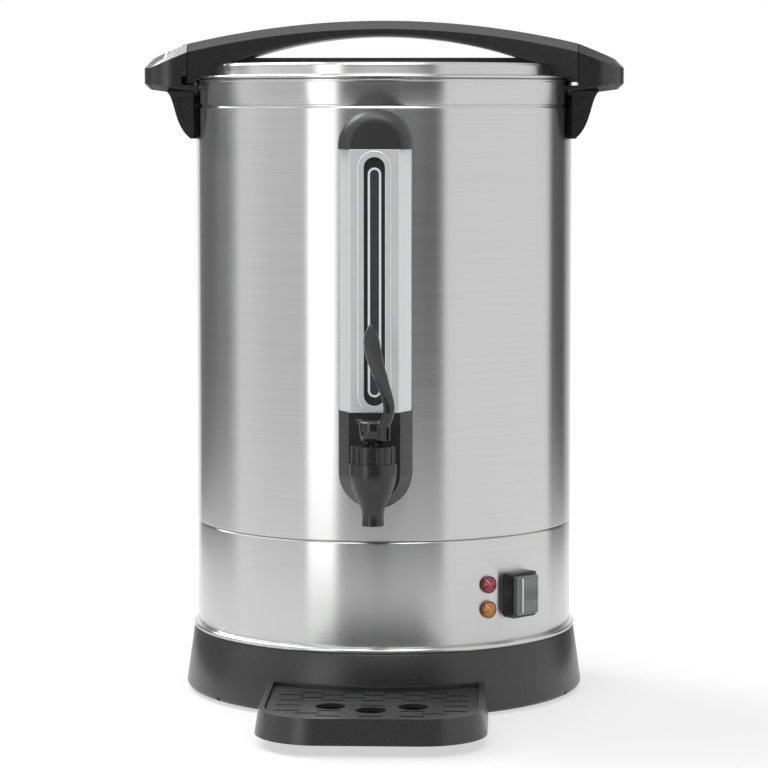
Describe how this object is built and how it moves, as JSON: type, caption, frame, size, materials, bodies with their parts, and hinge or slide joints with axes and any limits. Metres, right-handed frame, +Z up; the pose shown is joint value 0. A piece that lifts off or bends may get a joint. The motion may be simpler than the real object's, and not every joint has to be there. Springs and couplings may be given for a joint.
{
  "type": "coffee urn",
  "caption": "Steel coffee urn on a black foot with a lift-off lid under an arched handle, sight gauge, lever tap, drip tray, switch, lamps and percolator set.",
  "frame": {"origin": "on the tank's axis, on the surface that the foot ring stands on", "axes": "+Z up along the tank's axis, -Y to the front with the gauge and the tap, +X to the side of the switch"},
  "size_m": [0.3692, 0.4385, 0.517],
  "materials": {
    "brushed_steel": "fine horizontal brushing",
    "black_plastic": "satin",
    "tap_plastic": "semi-gloss",
    "silver_plastic": "satin silver coat",
    "scale_plastic": "printed",
    "sight_glass": "clear",
    "clear_plastic": "clear",
    "switch_plastic": "semi-gloss",
    "red_lens": "translucent",
    "amber_lens": "translucent",
    "zinc_steel": "zinc plated",
    "stainless": "bright",
    "aluminium": "cast",
    "black_rubber": "matt",
    "pale_silicone": "matt",
    "grey_nylon": "moulded",
    "brown_phenolic": "moulded",
    "ivory_plastic": "moulded",
    "wire_sleeve": "silicone sleeve"
  },
  "bodies": {
    "urn": {"tank": "brushed_steel", "skirt": "brushed_steel", "base": "black_plastic", "side_handle_left": "black_plastic", "side_handle_right": "black_plastic", "gauge_cap": "black_plastic", "tap_housing": "black_plastic", "cord_gland": "black_plastic", "tap_body": "tap_plastic", "tap_shank": "tap_plastic", "tap_bonnet": "tap_plastic", "gauge_bezel": "silver_plastic", "gauge_scale": "scale_plastic", "sight_tube": "sight_glass", "switch_cover": "clear_plastic", "switch_frame": "switch_plastic", "lamp_red": "red_lens", "lamp_amber": "amber_lens", "base_plate": "zinc_steel", "base_screws": "zinc_steel", "plate_nuts": "zinc_steel", "cap_screw": "zinc_steel", "tap_nut": "zinc_steel", "handle_screws": "zinc_steel", "percolator_tube": "stainless", "coffee_basket": "stainless", "basket_spreader": "stainless", "heating_element": "stainless", "heat_plate": "aluminium", "foot_ring": "black_rubber", "tube_seals": "black_rubber", "tap_seal": "pale_silicone", "gauge_tee": "grey_nylon", "control_thermostat": "brown_phenolic", "boil_dry_cutout": "ivory_plastic", "terminal_block": "ivory_plastic", "lamp_nuts": "ivory_plastic", "wiring": "wire_sleeve"},
    "lid": {"lid": "brushed_steel", "lid_handle": "black_plastic", "lid_screws": "zinc_steel"},
    "stem": {"tap_stem": "tap_plastic", "seat_cup": "pale_silicone"},
    "lever": {"tap_lever": "tap_plastic", "lever_pin": "stainless"},
    "rocker": {"switch_rocker": "switch_plastic"},
    "tray": {"drip_tray": "black_plastic"},
    "grid": {"drip_grid": "black_plastic"}
  },
  "joints": [
    {"name": "lid_lift", "type": "slide", "parent": "urn", "child": "lid", "axis": [0, 0, 1], "range_m": [0, 0.15]},
    {"name": "stem_lift", "type": "slide", "parent": "urn", "child": "stem", "axis": [0, 0, 1], "range_m": [0, 0.0038]},
    {"name": "lever_swing", "type": "hinge", "parent": "stem", "child": "lever", "pos_m": [0, -0.198, 0.219], "axis": [0.7071, 0.7071, 0], "range_deg": [0, 30], "stiffness_Nm_per_rad": 0.5},
    {"name": "tray_slide", "type": "slide", "parent": "urn", "child": "tray", "axis": [0, -1, 0], "range_m": [0, 0.11]},
    {"name": "grid_lift", "type": "slide", "parent": "tray", "child": "grid", "axis": [0, 0, 1], "range_m": [0, 0.05]},
    {"name": "rocker_tilt", "type": "hinge", "parent": "urn", "child": "rocker", "pos_m": [0.10467, -0.1025, 0.088], "axis": [-0.6997, -0.7145, 0], "range_deg": [0, 16]}
  ],
  "couplings": [
    {"joint": "stem_lift", "follows": "lever_swing", "m_per_rad": 0.007}
  ]
}
